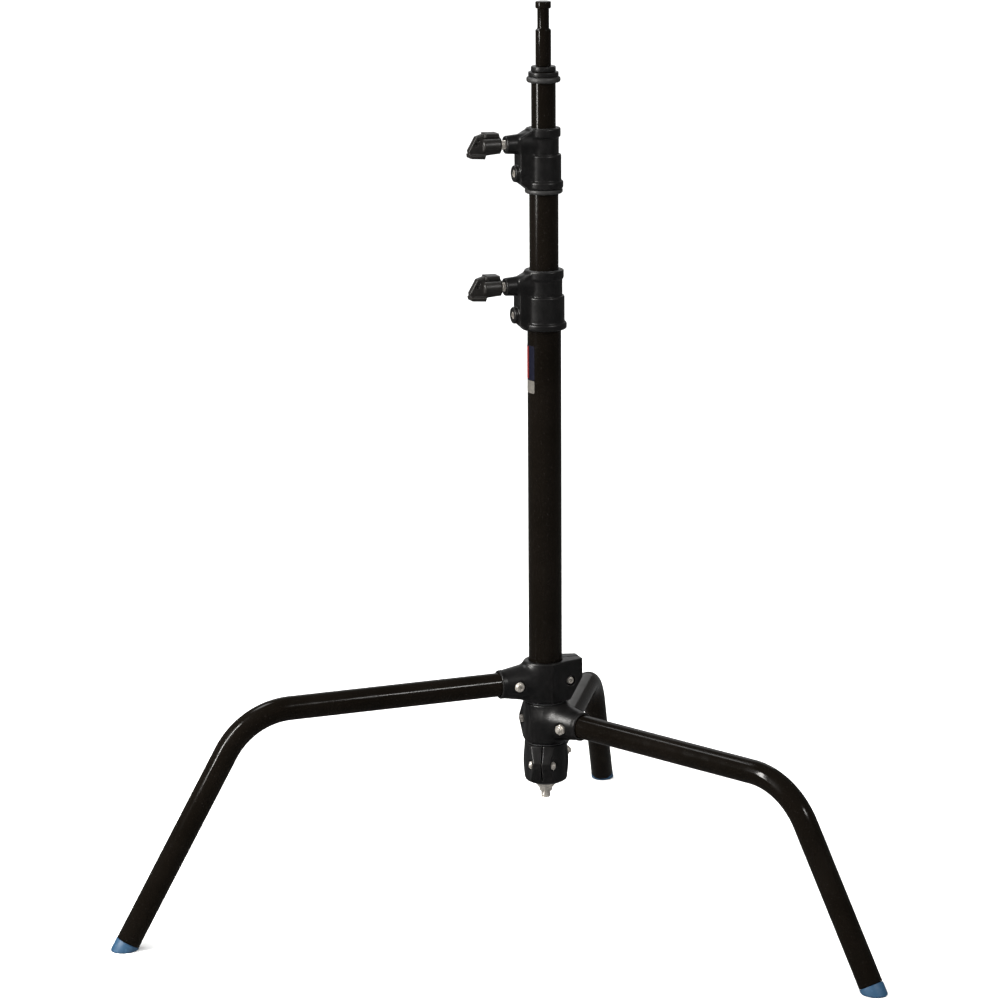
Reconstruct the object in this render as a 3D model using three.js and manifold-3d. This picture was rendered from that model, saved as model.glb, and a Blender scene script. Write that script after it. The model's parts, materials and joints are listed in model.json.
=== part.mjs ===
// Lighting stand with three folding legs, two telescoping risers and a 16 mm spigot.
// Millimetres, +Z up. Heights below are measured from the floor; the finished group is
// lowered so that its origin is the centre of the flat end of the stud under the base.
import * as THREE from "three";
import { mergeVertices } from "three/addons/utils/BufferGeometryUtils.js";
import Module from "manifold-3d";

const wasm = await Module();
wasm.setup();

// ---------------------------------------------------------------- driving dimensions
const GAP = 0.3;
const EDGE = 0.6;
const ROUND = 20;
const FINE_ROUND = 26;
const COARSE_ROUND = 12;

const COLUMN = { outer: 17.5, inner: 15.5, bottom: 133.6, top: 646.5 };
const MIDDLE_RISER = { outer: 15, inner: 13, bottom: 180.3, top: 792.5 };
const TOP_RISER = { outer: 12.5, inner: 10.5, bottom: 215.3, top: 880.2 };
const GUIDE = { clearance: 0.25, flange: 15, tail: 18, bore: 7.5 };

const LEG_TUBE = { outer: 12.5, inner: 10.5, start: 22.3, vertex: 328.3, bendRadius: 80 };
const LEG_SLOPE = THREE.MathUtils.degToRad(60.18);
const LEG_BEND_STEPS = 6;
const FOOT = { radius: 12.75, plug: 10.2, plugLength: 24, shortSide: 2, round: 2.4 };

const HUB = { radius: 21.9, bore: 17.8, roundWide: 8.9, roundHigh: 7.5, floor: 6.3 };
const SOCKET = {
  mouth: 15.2, root: 21.2, taperFrom: 14, taperTo: 47.5, length: 52.8, bore: 12.8, depth: 21.9, lip: 0.9,
};
const FLUSH_EAR = { reach: 37.9, halfWidth: 11 };
const TAPERED_EAR = { reach: 30.5, halfWidth: 9 };
const EAR = { rootHalfWidth: 21.5, slit: 1.2 };
const LEG_BOLT = { x: 35.6, radius: 2.9, head: 5.2, headHigh: 3.8, face: 16.6, nutFace: -14, end: -21.6 };
const LEG_NUT = { acrossFlats: 10, high: 5.4, bore: 3.2, pocket: 6.6 };
const PINCH = { x: -23, radius: 2.4, head: 4.2, headHigh: 3.6, face: 10, nutFace: -9.6, end: -14.2 };
const PINCH_NUT = { acrossFlats: 8, high: 3.6, bore: 2.7, pocket: 5.3 };
const WASHER = { inner: 17.8, outer: 21.6, thick: 0.8 };

const LEGS = [
  { name: "upper", azimuth: 201.2, bottom: 217.2, top: 261, axis: 238.4, cross: 238.4, ear: "flush" },
  { name: "middle", azimuth: -42.5, bottom: 172.7, top: 215.8, axis: 196.9, cross: 194, ear: "tapered" },
  { name: "lower", azimuth: 80.8, bottom: 127, top: 171.3, axis: 149.8, cross: 150.8, ear: "tapered" },
];
const WASHER_HEIGHTS = [171.6, 216.1];

const STUD = { radius: 5, bottom: 109.5, top: 158 };
const CONE_NUT = { bottom: 116.6, top: 126.7, small: 6.6, large: 10.5, bore: 5.3 };
const END_PLUG = { radius: 15.2, bottom: 134, top: 160 };

const KNOB_AZIMUTH = 201.2;
const BOSS = {
  knobDrop: 15.3, knobRadius: 9.2, setDrop: 45.5, setRadius: 8.75, flare: 1.2, flareEnd: 27, start: 8,
};
const BLOCK = { halfWidth: 10, slantDrop: 8, slantStart: 14.9, tail: 54.3 };
const SHOE = { radius: 6, thick: 5.2, backRoom: 2.9 };
const SCREW = { radius: 4.9, bore: 5.3, end: 62 };
const SET_SCREW = { radius: 4, bore: 4.3, sunk: 0.6 };
const CLAMPS = [
  {
    name: "upper", top: 822.8, inner: TOP_RISER.outer, held: MIDDLE_RISER.outer, heldTop: 793,
    rim: [17.4, 814.1], neck: [15.6, 796], middle: [18, 769], band: [20.1, 761],
    bushRadius: 14.9, bushInner: 12.75, neckBore: 12.9, blockEnd: 28.7, knobBossEnd: 42.5, setBossEnd: 33.3,
  },
  {
    name: "lower", top: 676.5, inner: MIDDLE_RISER.outer, held: COLUMN.outer, heldTop: 647,
    rim: [20.2, 668.1], neck: [18.9, 649.8], middle: [21.1, 622.2], band: [23.3, 615.1],
    bushRadius: 17.8, bushInner: 15.25, neckBore: 15.4, blockEnd: 30.2, knobBossEnd: 43.8, setBossEnd: 35.2,
  },
];

const KNOB_OUTLINE = [
  [47.6, 6.4], [50.2, 12.4], [64.6, 13], [74.2, 10.2], [82.2, -3.6], [81.2, -10.4],
  [66.2, -11.8], [63.4, -9.4], [48.4, -8.2],
];
const KNOB = { start: 47.4, web: 4.2, bevel: 1.2, hub: 7.4, hubEnd: 67, boreEnd: 62.3, boreRadius: 5.2 };
const KNOB_FLANGES = [
  [[50.2, 8.6], [51, 13.1], [65.2, 13.6], [65.8, 9.2]],
  [[64.8, -8.4], [66.2, -12.6], [81, -11.4], [81.8, -7.4]],
];
const KNOB_FLANGE_HALF = 7.6;

const BUMPER_LOW = { inner: 15.25, outer: 19.5, bottom: 756, top: 760.7 };
const BUMPER_TOP = { inner: 12.75, outer: 17.4, bottom: 869.4, top: 875.2 };
const STOP_RING = { inner: 12.75, outer: 15.5, bottom: 875.5, top: 880 };
const CAP = { flange: 12.7, flangeBottom: 880.5, top: 885.7, plug: 10.2, plugBottom: 848, bore: 5.3 };
const SPIGOT = { radius: 7.95, groove: 6, tail: 5, tailBottom: 850 };
const SPIGOT_HEIGHTS = { shoulder: 886, grooveBottom: 923.5, grooveTop: 944, top: 951.2 };

// ---------------------------------------------------------------- solids
function toSolid(geometry) {
  const bare = geometry.clone();
  bare.deleteAttribute("normal");
  bare.deleteAttribute("uv");
  const merged = mergeVertices(bare, 1e-4);
  const mesh = new wasm.Mesh({
    numProp: 3,
    vertProperties: new Float32Array(merged.attributes.position.array),
    triVerts: new Uint32Array(merged.index.array),
  });
  mesh.merge();
  return new wasm.Manifold(mesh);
}

function toGeometry(solid) {
  const mesh = solid.getMesh();
  const geometry = new THREE.BufferGeometry();
  geometry.setAttribute("position", new THREE.BufferAttribute(new Float32Array(mesh.vertProperties), 3));
  geometry.setIndex(new THREE.BufferAttribute(new Uint32Array(mesh.triVerts), 1));
  geometry.computeVertexNormals();
  return geometry;
}

function shaped(base, { add = [], keep = [], cut = [] }) {
  let solid = toSolid(base);
  for (const piece of add) solid = solid.add(toSolid(piece));
  for (const piece of keep) solid = solid.intersect(toSolid(piece));
  for (const piece of cut) solid = solid.subtract(toSolid(piece));
  return toGeometry(solid);
}

// Turned piece about Z from [radius, height] pairs.
function turned(profile, segments = ROUND) {
  const points = profile.map(([radius, height]) => new THREE.Vector2(radius, height));
  return new THREE.LatheGeometry(points, segments).rotateX(Math.PI / 2);
}

function closedRing(profile, segments = ROUND) {
  return turned([...profile, profile[0]], segments);
}

function rod(radius, from, to, segments = ROUND) {
  return turned([[0, from], [radius, from], [radius, to], [0, to]], segments);
}

function tube(outer, inner, from, to, segments = ROUND) {
  return closedRing([[inner, from], [outer, from], [outer, to], [inner, to]], segments);
}

// Points a piece built along Z down +X, or down +Y.
function alongX(geometry, height = 0) {
  return geometry.rotateY(Math.PI / 2).translate(0, 0, height);
}

function alongY(geometry, x = 0, height = 0) {
  return geometry.rotateX(-Math.PI / 2).translate(x, 0, height);
}

function outline(points) {
  return new THREE.Shape(points.map(([a, b]) => new THREE.Vector2(a, b)));
}

// Side profile given as [x, z], centred on y = 0.
function upright(points, halfWidth, bevel = 0) {
  const settings = {
    depth: 2 * (halfWidth - bevel), bevelEnabled: bevel > 0, bevelThickness: bevel,
    bevelSize: bevel, bevelOffset: -bevel, bevelSegments: 1,
  };
  const slab = new THREE.ExtrudeGeometry(outline(points), settings);
  return slab.rotateX(Math.PI / 2).translate(0, halfWidth - bevel, 0);
}

// Plan given as [x, y], between two heights.
function flat(points, from, to) {
  const settings = { depth: to - from, bevelEnabled: false };
  return new THREE.ExtrudeGeometry(outline(points), settings).translate(0, 0, from);
}

function box(x, y, z) {
  const block = new THREE.BoxGeometry(x[1] - x[0], y[1] - y[0], z[1] - z[0]);
  return block.translate((x[0] + x[1]) / 2, (y[0] + y[1]) / 2, (z[0] + z[1]) / 2);
}

function hexagon(acrossFlats, from, to) {
  const corner = acrossFlats / Math.sqrt(3);
  const points = [];
  for (let side = 0; side < 6; side += 1) {
    const angle = Math.PI / 6 + side * Math.PI / 3;
    points.push([corner * Math.cos(angle), corner * Math.sin(angle)]);
  }
  return flat(points, from, to);
}

// ---------------------------------------------------------------- finishes
const FINISHES = {
  glossBlack: [0x14110e, 0.22, 0.1],
  castBlack: [0x262628, 0.55, 0.1],
  knobGrey: [0x38342f, 0.5, 0.05],
  zinc: [0xb8b2a8, 0.35, 0.85],
  steel: [0xc4c2bd, 0.28, 0.9],
  blueFoot: [0x316a95, 0.6, 0],
  rubber: [0x141414, 0.8, 0],
  nylon: [0x1c1c1d, 0.6, 0],
};

function mesh(name, geometry, finish) {
  const [color, roughness, metalness] = FINISHES[finish];
  const piece = new THREE.Mesh(geometry, new THREE.MeshStandardMaterial({ color, roughness, metalness }));
  piece.name = name;
  return piece;
}

// ---------------------------------------------------------------- legs
class LegPath extends THREE.Curve {
  constructor(height) {
    super();
    this.height = height;
    this.run = LEG_TUBE.bendRadius * Math.tan(LEG_SLOPE / 2);
    this.bendStart = LEG_TUBE.vertex - this.run;
    const endHeight = footCutHeight();
    this.slopeLength = (height - endHeight) / Math.sin(LEG_SLOPE) - this.run;
  }

  getUtoTmapping(u) {
    return u;
  }

  getPoint(t) {
    const station = t * (LEG_BEND_STEPS + 2);
    if (station <= 1) return this.level(station);
    if (station <= LEG_BEND_STEPS + 1) return this.bend((station - 1) / LEG_BEND_STEPS);
    return this.slope(station - LEG_BEND_STEPS - 1);
  }

  level(share) {
    const x = LEG_TUBE.start + share * (this.bendStart - LEG_TUBE.start);
    return new THREE.Vector3(x, 0, this.height);
  }

  bend(share) {
    const angle = share * LEG_SLOPE;
    const x = this.bendStart + LEG_TUBE.bendRadius * Math.sin(angle);
    return new THREE.Vector3(x, 0, this.height - LEG_TUBE.bendRadius * (1 - Math.cos(angle)));
  }

  slope(share) {
    const start = this.bend(1);
    const travel = share * this.slopeLength;
    const x = start.x + travel * Math.cos(LEG_SLOPE);
    return new THREE.Vector3(x, 0, start.z - travel * Math.sin(LEG_SLOPE));
  }
}

// Height of the centre of the square-cut tube end.
function footCutHeight() {
  return LEG_TUBE.outer * Math.cos(LEG_SLOPE) + FOOT.shortSide * Math.sin(LEG_SLOPE);
}

function legTube(leg) {
  const section = new THREE.Shape().absarc(0, 0, LEG_TUBE.outer, 0, 2 * Math.PI);
  section.holes.push(new THREE.Path().absarc(0, 0, LEG_TUBE.inner, 0, 2 * Math.PI, true));
  const swept = new THREE.ExtrudeGeometry(section, {
    steps: LEG_BEND_STEPS + 2, curveSegments: ROUND / 2, bevelEnabled: false,
    extrudePath: new LegPath(leg.axis),
  });
  const hole = alongY(rod(LEG_NUT.bore, -20, 20, COARSE_ROUND), LEG_BOLT.x, leg.cross);
  return shaped(swept, { cut: [hole] });
}

function legFoot(leg) {
  const path = new LegPath(leg.axis);
  const end = path.slope(1);
  const long = 2 * FOOT.radius / Math.tan(LEG_SLOPE) + FOOT.shortSide + 6;
  const body = closedProfileFoot(long);
  const tilt = Math.PI / 2 + LEG_SLOPE;
  body.rotateY(tilt).translate(end.x, 0, end.z);
  const underFloor = box([end.x - 60, end.x + 60], [-40, 40], [-60, 0]);
  const sole = end.x + end.z / Math.tan(LEG_SLOPE);
  const rounding = soleRounding(sole);
  return shaped(body, { cut: [underFloor], keep: [rounding] });
}

// Stepped foot along +Z: exposed body first, then the part pushed into the tube.
function closedProfileFoot(long) {
  const exposed = turned([[0, GAP], [FOOT.radius, GAP], [FOOT.radius, long], [0, long]], ROUND);
  const insert = turned([
    [0, -FOOT.plugLength], [FOOT.plug - 1, -FOOT.plugLength], [FOOT.plug, 1 - FOOT.plugLength],
    [FOOT.plug, GAP + 1], [0, GAP + 1],
  ], ROUND);
  return shaped(exposed, { add: [insert] });
}

// Oblique cylinder that follows the foot and narrows just above the floor.
function soleRounding(soleX) {
  const wide = FOOT.radius + 0.02;
  const rings = [
    [wide - FOOT.round, 0], [wide - 0.35 * FOOT.round, 0.35 * FOOT.round], [wide, FOOT.round], [60, 60],
  ];
  const profile = [[0, -1], [rings[0][0], -1], ...rings.map(([radius, height]) => [radius, height]), [0, 60]];
  const cone = turned(profile, ROUND);
  const stretch = 1 / Math.sin(LEG_SLOPE);
  return cone.scale(stretch, 1, 1).translate(soleX, 0, 0);
}

function hubBarrel(leg) {
  const top = [[HUB.radius, leg.top - EDGE], [HUB.radius - EDGE, leg.top], [0, leg.top]];
  if (leg.name !== "lower") {
    const rim = [[HUB.radius - EDGE, leg.bottom], [HUB.radius, leg.bottom + EDGE]];
    return turned([[0, leg.bottom], ...rim, ...top], FINE_ROUND);
  }
  const rounded = [];
  for (let step = 0; step <= 5; step += 1) {
    const angle = step / 5 * Math.PI / 2;
    const radius = HUB.radius - HUB.roundWide * (1 - Math.sin(angle));
    rounded.push([radius, leg.bottom + HUB.roundHigh * (1 - Math.cos(angle))]);
  }
  return turned([[0, leg.bottom], ...rounded, ...top], FINE_ROUND);
}

function hubSocket(leg) {
  const { mouth, root, taperFrom, taperTo, length, lip } = SOCKET;
  const profile = [
    [0, 4], [root, 4], [root, taperFrom], [mouth, taperTo],
    [mouth, length - lip], [mouth - lip, length], [0, length],
  ];
  const cone = alongX(turned(profile, ROUND), leg.axis);
  return shaped(cone, {
    cut: [
      box([-1, 70], [-40, 40], [leg.top, leg.top + 30]),
      box([-1, 70], [-40, 40], [leg.bottom - 30, leg.bottom]),
    ],
  });
}

function hubEar(leg) {
  const { reach, halfWidth } = leg.ear === "flush" ? FLUSH_EAR : TAPERED_EAR;
  const { rootHalfWidth } = EAR;
  const plan = flat([
    [0, rootHalfWidth], [1.5 - reach, halfWidth], [-reach, halfWidth - 1.5], [-reach, 1.5 - halfWidth],
    [1.5 - reach, -halfWidth], [0, -rootHalfWidth],
  ], leg.bottom - 1, leg.top + 1);
  const side = leg.ear === "flush" ? flushEarSide(leg) : taperedEarSide(leg);
  return shaped(plan, { keep: [upright(side, 30)] });
}

function flushEarSide(leg) {
  const end = -FLUSH_EAR.reach - 1;
  return [
    [0, leg.bottom + 0.4], [-22.5, leg.bottom + 0.6], [end, leg.top - 19.6], [end, leg.top], [0, leg.top],
  ];
}

function taperedEarSide(leg) {
  const end = -TAPERED_EAR.reach - 0.2;
  return [
    [0, leg.cross - 20.4], [-21.6, leg.cross - 19.6], [end, leg.cross - 3.5],
    [end, leg.cross + 3.5], [-21.6, leg.cross + 19.6], [0, leg.cross + 20.4],
  ];
}

function hubCuts(leg) {
  const closed = leg.name === "lower";
  const boreBottom = closed ? leg.bottom + HUB.floor : leg.bottom - 2;
  const cuts = [
    rod(HUB.bore, boreBottom, leg.top + 2, FINE_ROUND),
    alongX(rod(SOCKET.bore, SOCKET.depth, 70), leg.axis),
    box([-60, -HUB.bore + 2], [-EAR.slit / 2, EAR.slit / 2], [boreBottom, leg.top + 2]),
    alongY(rod(LEG_NUT.bore, -40, 40, COARSE_ROUND), LEG_BOLT.x, leg.cross),
    alongY(rod(LEG_NUT.pocket, LEG_BOLT.face, 40), LEG_BOLT.x, leg.cross),
    alongY(rod(LEG_NUT.pocket + 0.4, -40, LEG_BOLT.nutFace), LEG_BOLT.x, leg.cross),
    alongY(rod(PINCH_NUT.bore, -40, 40, COARSE_ROUND), PINCH.x, leg.cross),
    alongY(rod(PINCH_NUT.pocket, PINCH.face, 40, COARSE_ROUND + 4), PINCH.x, leg.cross),
    alongY(rod(PINCH_NUT.pocket, -40, PINCH.nutFace, COARSE_ROUND + 4), PINCH.x, leg.cross),
  ];
  if (closed) cuts.push(rod(CONE_NUT.bore, leg.bottom - 2, boreBottom + 1, COARSE_ROUND));
  return cuts;
}

function legHub(leg) {
  return shaped(hubBarrel(leg), { add: [hubSocket(leg), hubEar(leg)], cut: hubCuts(leg) });
}

// Round-headed screw along Y with its head on the +Y side.
function headedScrew(size, x, height) {
  const face = size.face + GAP;
  const top = face + size.headHigh;
  const body = turned([
    [0, size.end], [size.radius - 0.5, size.end], [size.radius, size.end + 0.5], [size.radius, face],
    [size.head, face], [size.head, face + 0.45 * size.headHigh], [0.7 * size.head, top], [0, top],
  ], COARSE_ROUND);
  const recess = hexagon(0.72 * size.head, top - 0.6 * size.headHigh, top + 1);
  return alongY(shaped(body, { cut: [recess] }), x, height);
}

// Nut with a rounded collar, along Y on the -Y side.
function lockNut(size, face, x, height) {
  const seat = face - GAP;
  const corner = size.acrossFlats / Math.sqrt(3);
  const end = seat - size.high;
  const rounding = turned([
    [0, end], [0.74 * corner, end], [0.86 * corner, end + 0.3 * size.high],
    [1.1 * corner, end + 0.45 * size.high], [1.1 * corner, seat], [0, seat],
  ], COARSE_ROUND);
  const prism = hexagon(size.acrossFlats, end, seat);
  const bore = rod(size.bore, end - 1, seat + 1, COARSE_ROUND);
  return alongY(shaped(prism, { keep: [rounding], cut: [bore] }), x, height);
}

function buildLeg(leg) {
  const group = new THREE.Group();
  group.name = `${leg.name}_leg_assembly`;
  group.rotation.z = THREE.MathUtils.degToRad(leg.azimuth);
  group.add(
    mesh(`${leg.name}_leg_hub`, legHub(leg), "castBlack"),
    mesh(`${leg.name}_leg_tube`, legTube(leg), "glossBlack"),
    mesh(`${leg.name}_leg_foot`, legFoot(leg), "blueFoot"),
    mesh(`${leg.name}_leg_bolt`, headedScrew(LEG_BOLT, LEG_BOLT.x, leg.cross), "zinc"),
    mesh(`${leg.name}_leg_nut`, lockNut(LEG_NUT, LEG_BOLT.nutFace, LEG_BOLT.x, leg.cross), "zinc"),
    mesh(`${leg.name}_pinch_screw`, headedScrew(PINCH, PINCH.x, leg.cross), "zinc"),
    mesh(`${leg.name}_pinch_nut`, lockNut(PINCH_NUT, PINCH.nutFace, PINCH.x, leg.cross), "zinc"),
  );
  return group;
}

// ---------------------------------------------------------------- clamps
function clampSleeve(clamp) {
  const { rim, neck, middle, band, top } = clamp;
  return turned([
    [0, band[1]], [band[0], band[1]], [band[0], middle[1] - EDGE], [middle[0], middle[1]],
    [middle[0], neck[1] - EDGE], [neck[0], neck[1]], [neck[0], rim[1]], [rim[0], rim[1] + EDGE],
    [rim[0], top - EDGE], [rim[0] - EDGE, top], [0, top],
  ], FINE_ROUND);
}

function clampBlock(clamp) {
  const { top } = clamp;
  const foot = clamp.band[1];
  return upright([
    [0, foot + 0.5], [clamp.band[0] - 0.5, foot + 0.5], [clamp.blockEnd, top - BLOCK.tail],
    [clamp.blockEnd, top - BLOCK.slantDrop], [BLOCK.slantStart, top - 0.4], [0, top - 0.4],
  ], BLOCK.halfWidth);
}

function radialBoss(radius, end, height) {
  const { flare, flareEnd, start } = BOSS;
  const profile = [
    [0, start], [radius + flare, start], [radius + flare, flareEnd],
    [radius, end - 1], [radius - 1, end], [0, end],
  ];
  return alongX(turned(profile), height);
}

function clampCuts(clamp) {
  const knobHeight = clamp.top - BOSS.knobDrop;
  const shoeBack = clamp.inner + GAP + SHOE.thick + SHOE.backRoom;
  return [
    rod(clamp.neckBore, clamp.band[1] - 2, clamp.top + 2, FINE_ROUND),
    rod(clamp.held + GAP, clamp.band[1] - 2, clamp.heldTop, FINE_ROUND),
    rod(clamp.bushRadius, clamp.rim[1], clamp.top + 2, FINE_ROUND),
    alongX(rod(SHOE.radius + GAP, 6, shoeBack), knobHeight),
    alongX(rod(SCREW.bore, 6, 60, COARSE_ROUND), knobHeight),
    alongX(rod(SET_SCREW.bore, 6, 60, COARSE_ROUND), clamp.top - BOSS.setDrop),
  ];
}

function clampBody(clamp) {
  return shaped(clampSleeve(clamp), {
    add: [
      clampBlock(clamp),
      radialBoss(BOSS.knobRadius, clamp.knobBossEnd, clamp.top - BOSS.knobDrop),
      radialBoss(BOSS.setRadius, clamp.setBossEnd, clamp.top - BOSS.setDrop),
    ],
    cut: clampCuts(clamp),
  });
}

function clampBush(clamp) {
  const outer = clamp.bushRadius - GAP;
  const bottom = clamp.rim[1] + GAP;
  const top = clamp.top + 0.4;
  return closedRing([
    [clamp.bushInner, bottom], [outer, bottom], [outer, top - 0.5],
    [outer - 0.5, top], [clamp.bushInner, top],
  ]);
}

// Pressure pad at the end of the clamping screw, hollowed to the tube it grips.
function brakeShoe(clamp) {
  const height = clamp.top - BOSS.knobDrop;
  const back = clamp.inner + GAP + SHOE.thick;
  const pad = alongX(rod(SHOE.radius, clamp.inner - 4, back), height);
  return shaped(pad, { cut: [rod(clamp.inner + GAP, height - 20, height + 20, FINE_ROUND)] });
}

function knobScrew(clamp) {
  const start = clamp.inner + SHOE.thick + 2 * GAP;
  const profile = [
    [0, start], [SCREW.radius - 0.8, start], [SCREW.radius, start + 0.8], [SCREW.radius, SCREW.end - 0.6],
    [SCREW.radius - 0.6, SCREW.end], [0, SCREW.end],
  ];
  return alongX(turned(profile, COARSE_ROUND), clamp.top - BOSS.knobDrop);
}

function wingKnob(clamp) {
  const hub = turned([
    [0, KNOB.start], [KNOB.hub - 0.8, KNOB.start], [KNOB.hub, KNOB.start + 0.8], [KNOB.hub, KNOB.hubEnd - 4],
    [KNOB.hub - 3, KNOB.hubEnd], [0, KNOB.hubEnd],
  ]);
  const bore = rod(KNOB.boreRadius, 40, KNOB.boreEnd, COARSE_ROUND);
  const web = upright(KNOB_OUTLINE, KNOB.web, KNOB.bevel);
  const flanges = KNOB_FLANGES.map((points) => upright(points, KNOB_FLANGE_HALF, 0.8));
  const knob = shaped(web, { add: [alongX(hub), ...flanges], cut: [alongX(bore)] });
  return knob.translate(0, 0, clamp.top - BOSS.knobDrop);
}

function setScrew(clamp) {
  const start = clamp.held + 0.5;
  const { radius } = SET_SCREW;
  const end = clamp.setBossEnd - SET_SCREW.sunk;
  const body = turned([
    [0, start], [radius - 1, start], [radius, start + 1], [radius, end - 0.6], [radius - 0.6, end], [0, end],
  ], COARSE_ROUND);
  const socket = hexagon(4, end - 3.2, end + 1);
  return alongX(shaped(body, { cut: [socket] }), clamp.top - BOSS.setDrop);
}

function buildClamp(clamp) {
  const group = new THREE.Group();
  group.name = `${clamp.name}_clamp_assembly`;
  group.rotation.z = THREE.MathUtils.degToRad(KNOB_AZIMUTH);
  group.add(
    mesh(`${clamp.name}_clamp_body`, clampBody(clamp), "castBlack"),
    mesh(`${clamp.name}_clamp_bush`, clampBush(clamp), "nylon"),
    mesh(`${clamp.name}_brake_shoe`, brakeShoe(clamp), "nylon"),
    mesh(`${clamp.name}_knob_screw`, knobScrew(clamp), "steel"),
    mesh(`${clamp.name}_knob`, wingKnob(clamp), "knobGrey"),
    mesh(`${clamp.name}_set_screw`, setScrew(clamp), "zinc"),
  );
  return group;
}

// ---------------------------------------------------------------- column and risers
function tubeMesh(name, size) {
  return mesh(name, tube(size.outer, size.inner, size.bottom, size.top, FINE_ROUND), "glossBlack");
}

// Guide bush: flange running in the outer tube, tail pushed into the riser.
function guideBush(riser, runIn) {
  const flange = runIn - GUIDE.clearance;
  const tail = riser.inner - GAP;
  const shoulder = riser.bottom - GAP;
  const bottom = shoulder - GUIDE.flange;
  return closedRing([
    [GUIDE.bore, bottom], [flange - 0.8, bottom], [flange, bottom + 0.8], [flange, shoulder],
    [tail, shoulder], [tail, shoulder + GUIDE.tail], [GUIDE.bore, shoulder + GUIDE.tail],
  ]);
}

function roundedRing(size, round) {
  const { inner, outer, bottom, top } = size;
  const half = round * 0.3;
  return closedRing([
    [inner, bottom], [outer - round, bottom], [outer - half, bottom + half], [outer, bottom + round],
    [outer, top - round], [outer - half, top - half], [outer - round, top], [inner, top],
  ]);
}

function riserCap() {
  return closedRing([
    [CAP.bore, CAP.plugBottom], [CAP.plug - 0.8, CAP.plugBottom], [CAP.plug, CAP.plugBottom + 0.8],
    [CAP.plug, CAP.flangeBottom], [CAP.flange, CAP.flangeBottom], [CAP.flange, CAP.top - EDGE],
    [CAP.flange - EDGE, CAP.top], [CAP.bore, CAP.top],
  ]);
}

function spigot() {
  const { radius, groove, tail, tailBottom } = SPIGOT;
  const { shoulder, grooveBottom, grooveTop, top } = SPIGOT_HEIGHTS;
  return turned([
    [0, tailBottom], [tail - 0.5, tailBottom], [tail, tailBottom + 0.5], [tail, shoulder], [radius, shoulder],
    [radius, grooveBottom - 1.2], [radius - 1.2, grooveBottom],
    [groove, grooveBottom + 0.3], [groove, grooveTop - 0.4],
    [radius - 0.8, grooveTop], [radius, grooveTop + 0.8], [radius, top - 1], [radius - 1, top], [0, top],
  ]);
}

function coneNut() {
  const { bottom, top, small, large, bore } = CONE_NUT;
  return closedRing([
    [bore, bottom], [small - 0.5, bottom], [small, bottom + 0.5], [small + 0.4, bottom + 3.4],
    [large - 0.6, top - 2.6], [large, top - 2], [large, top], [bore, top],
  ], ROUND);
}

function buildColumn() {
  const group = new THREE.Group();
  group.name = "column_assembly";
  const stud = turned([
    [0, STUD.bottom], [STUD.radius - 0.7, STUD.bottom], [STUD.radius, STUD.bottom + 0.7],
    [STUD.radius, STUD.top], [0, STUD.top],
  ], COARSE_ROUND);
  group.add(
    tubeMesh("column_tube", COLUMN),
    mesh("column_end_plug", tube(END_PLUG.radius, CONE_NUT.bore, END_PLUG.bottom, END_PLUG.top), "zinc"),
    mesh("base_stud", stud, "zinc"),
    mesh("base_cone_nut", coneNut(), "zinc"),
  );
  WASHER_HEIGHTS.forEach((height, index) => {
    const ring = tube(WASHER.outer, WASHER.inner, height, height + WASHER.thick);
    group.add(mesh(`hub_washer_${index + 1}`, ring, "nylon"));
  });
  return group;
}

function buildRisers() {
  const group = new THREE.Group();
  group.name = "riser_assembly";
  group.add(
    tubeMesh("middle_riser_tube", MIDDLE_RISER),
    mesh("middle_riser_guide", guideBush(MIDDLE_RISER, COLUMN.inner), "nylon"),
    mesh("middle_riser_bumper", roundedRing(BUMPER_LOW, 1), "rubber"),
    tubeMesh("top_riser_tube", TOP_RISER),
    mesh("top_riser_guide", guideBush(TOP_RISER, MIDDLE_RISER.inner), "nylon"),
    mesh("top_riser_bumper", roundedRing(BUMPER_TOP, 2.2), "rubber"),
    mesh("top_riser_stop_ring", roundedRing(STOP_RING, 0.5), "castBlack"),
    mesh("top_riser_cap", riserCap(), "castBlack"),
    mesh("spigot", spigot(), "glossBlack"),
  );
  return group;
}

const stand = new THREE.Group();
stand.name = "c_stand";
stand.position.z = -STUD.bottom;
stand.add(buildColumn(), buildRisers(), ...LEGS.map(buildLeg), ...CLAMPS.map(buildClamp));

export default stand;
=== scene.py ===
"""Looks of the lighting stand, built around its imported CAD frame.

Shapes are worked out in millimetres above the floor, like the CAD, and moved into the
row frame (metres, origin at the end of the base stud) when their meshes are made.
"""

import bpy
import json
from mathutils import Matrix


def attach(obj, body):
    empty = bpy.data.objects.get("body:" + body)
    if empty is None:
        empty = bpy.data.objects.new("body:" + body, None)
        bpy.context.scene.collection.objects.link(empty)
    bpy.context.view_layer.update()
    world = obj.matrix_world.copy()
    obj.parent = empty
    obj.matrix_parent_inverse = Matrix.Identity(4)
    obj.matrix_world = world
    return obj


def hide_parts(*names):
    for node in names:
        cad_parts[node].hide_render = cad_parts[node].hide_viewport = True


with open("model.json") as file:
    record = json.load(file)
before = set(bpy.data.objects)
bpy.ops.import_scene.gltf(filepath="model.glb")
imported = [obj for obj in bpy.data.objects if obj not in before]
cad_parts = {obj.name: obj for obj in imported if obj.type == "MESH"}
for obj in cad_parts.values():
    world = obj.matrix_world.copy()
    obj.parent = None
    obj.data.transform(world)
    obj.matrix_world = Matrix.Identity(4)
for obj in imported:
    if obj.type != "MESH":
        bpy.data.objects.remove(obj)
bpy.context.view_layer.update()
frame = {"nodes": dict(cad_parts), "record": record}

import json
import math

import bpy
import numpy as np
from mathutils import Matrix, Vector

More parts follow.
